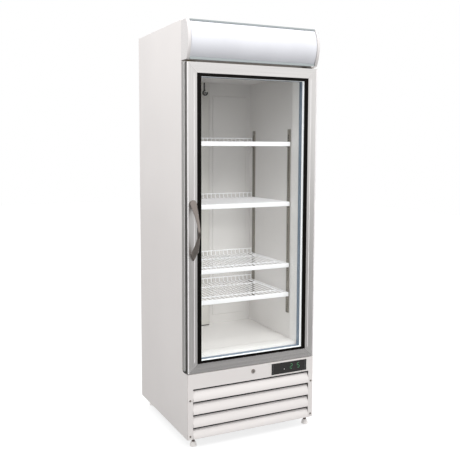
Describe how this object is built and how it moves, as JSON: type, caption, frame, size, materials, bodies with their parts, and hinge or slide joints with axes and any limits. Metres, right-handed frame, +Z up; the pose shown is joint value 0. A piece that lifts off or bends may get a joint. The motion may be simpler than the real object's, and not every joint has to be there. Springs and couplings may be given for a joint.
{
  "type": "glass door merchandiser",
  "caption": "Upright refrigerated display cabinet with a hinged glass door, a lit canopy, wire shelves and a louvred machine compartment.",
  "frame": {"origin": "on the floor at the middle of the bounding box, under the levelling feet", "axes": "+Z up, the door faces -Y, +X to the right as seen from in front"},
  "size_m": [0.695, 0.723, 2],
  "materials": {
    "casing_white": "satin",
    "galvanised_steel": "satin",
    "foam": "matte",
    "liner_white": "satin",
    "breaker_plastic": "satin",
    "evaporator_aluminium": "satin",
    "column_metal": "satin",
    "column_diffuser": "satin",
    "led_board": "matte",
    "black_plastic": "satin",
    "pilaster_steel": "satin",
    "clip_steel": "satin",
    "fascia_white": "satin",
    "display_black": "gloss",
    "controller_white": "satin",
    "lock_chrome": "polished",
    "screw_steel": "satin",
    "compressor_black": "satin",
    "black_rubber": "matte",
    "condenser_black": "satin",
    "fan_aluminium": "satin",
    "copper": "satin",
    "pan_plastic": "satin",
    "cap_plastic": "satin",
    "sign_acrylic": "satin",
    "trim_aluminium": "satin",
    "lamp_white": "gloss",
    "door_aluminium": "satin",
    "clear_glass": "gloss",
    "spacer_aluminium": "satin",
    "glass_black": "gloss",
    "bead_plastic": "satin",
    "gasket_grey": "matte",
    "handle_chrome": "satin",
    "bush_nylon": "satin",
    "spring_steel": "satin",
    "shelf_white": "gloss",
    "foot_plastic": "satin"
  },
  "bodies": {
    "cabinet": {"side_panel_left": "casing_white", "side_panel_right": "casing_white", "top_panel": "casing_white", "back_panel": "galvanised_steel", "rear_machine_cover": "galvanised_steel", "base_tray": "galvanised_steel", "base_rails": "galvanised_steel", "foam_insulation": "foam", "inner_liner": "liner_white", "breaker_strips": "breaker_plastic", "rear_wall_panels": "liner_white", "evaporator_plate": "evaporator_aluminium", "light_column_base": "column_metal", "light_column_cover": "column_diffuser", "led_strip": "led_board", "probe_clip": "black_plastic", "pilaster_strips": "pilaster_steel", "shelf_clips": "clip_steel", "fascia_panel": "fascia_white", "louvre_slats": "fascia_white", "display_window": "display_black", "controller_box": "controller_white", "lock_housing": "lock_chrome", "casing_screws": "screw_steel", "compressor": "compressor_black", "compressor_mounts": "black_rubber", "condenser_coil": "condenser_black", "condenser_fan_shroud": "condenser_black", "condenser_fan_motor": "compressor_black", "refrigerant_pipes": "copper", "condensate_pan": "pan_plastic", "power_inlet": "black_plastic", "canopy_housing": "casing_white", "canopy_end_caps": "cap_plastic", "canopy_sign_panel": "sign_acrylic", "canopy_trims": "trim_aluminium", "canopy_lamp": "lamp_white", "hinge_brackets": "casing_white"},
    "door": {"door_stiles": "door_aluminium", "door_rails": "door_aluminium", "door_glass_outer": "clear_glass", "door_glass_inner": "clear_glass", "door_glass_spacer": "spacer_aluminium", "door_glass_border": "glass_black", "door_inner_bead": "bead_plastic", "door_gasket": "gasket_grey", "door_handle": "handle_chrome", "door_hinge_bushes": "bush_nylon", "closer_torsion_rod": "spring_steel"},
    "lock": {"lock_cylinder": "lock_chrome", "lock_cam": "clip_steel"},
    "condenser_fan": {"condenser_fan_blade": "fan_aluminium"},
    "shelf_1_body": {"shelf_1": "shelf_white"},
    "shelf_2_body": {"shelf_2": "shelf_white"},
    "shelf_3_body": {"shelf_3": "shelf_white"},
    "shelf_4_body": {"shelf_4": "shelf_white"},
    "foot_front_left_body": {"foot_front_left": "foot_plastic"},
    "foot_front_right_body": {"foot_front_right": "foot_plastic"},
    "foot_rear_left_body": {"foot_rear_left": "foot_plastic"},
    "foot_rear_right_body": {"foot_rear_right": "foot_plastic"}
  },
  "joints": [
    {"name": "door_hinge", "type": "hinge", "parent": "cabinet", "child": "door", "pos_m": [0.33, -0.275, 1.088], "axis": [0, 0, 1], "range_deg": [0, 110], "stiffness_Nm_per_rad": 1, "springref_deg": -11.46},
    {"name": "lock_turn", "type": "hinge", "parent": "cabinet", "child": "lock", "pos_m": [0, -0.2915, 0.338], "axis": [0, -1, 0], "range_deg": [0, 90]},
    {"name": "condenser_fan_spin", "type": "hinge", "parent": "cabinet", "child": "condenser_fan", "pos_m": [-0.075, -0.196, 0.21], "axis": [0, 1, 0], "continuous": true},
    {"name": "shelf_1_lift", "type": "slide", "parent": "cabinet", "child": "shelf_1_body", "axis": [0, 0, 1], "range_m": [0, 0.015]},
    {"name": "shelf_2_lift", "type": "slide", "parent": "cabinet", "child": "shelf_2_body", "axis": [0, 0, 1], "range_m": [0, 0.015]},
    {"name": "shelf_3_lift", "type": "slide", "parent": "cabinet", "child": "shelf_3_body", "axis": [0, 0, 1], "range_m": [0, 0.015]},
    {"name": "shelf_4_lift", "type": "slide", "parent": "cabinet", "child": "shelf_4_body", "axis": [0, 0, 1], "range_m": [0, 0.015]},
    {"name": "foot_front_left_turn", "type": "hinge", "parent": "cabinet", "child": "foot_front_left_body", "pos_m": [-0.3, -0.2465, 0.05], "axis": [0, 0, 1], "continuous": true},
    {"name": "foot_front_right_turn", "type": "hinge", "parent": "cabinet", "child": "foot_front_right_body", "pos_m": [0.33, -0.2465, 0.05], "axis": [0, 0, 1], "continuous": true},
    {"name": "foot_rear_left_turn", "type": "hinge", "parent": "cabinet", "child": "foot_rear_left_body", "pos_m": [-0.3, 0.32, 0.05], "axis": [0, 0, 1], "continuous": true},
    {"name": "foot_rear_right_turn", "type": "hinge", "parent": "cabinet", "child": "foot_rear_right_body", "pos_m": [0.33, 0.32, 0.05], "axis": [0, 0, 1], "continuous": true}
  ]
}
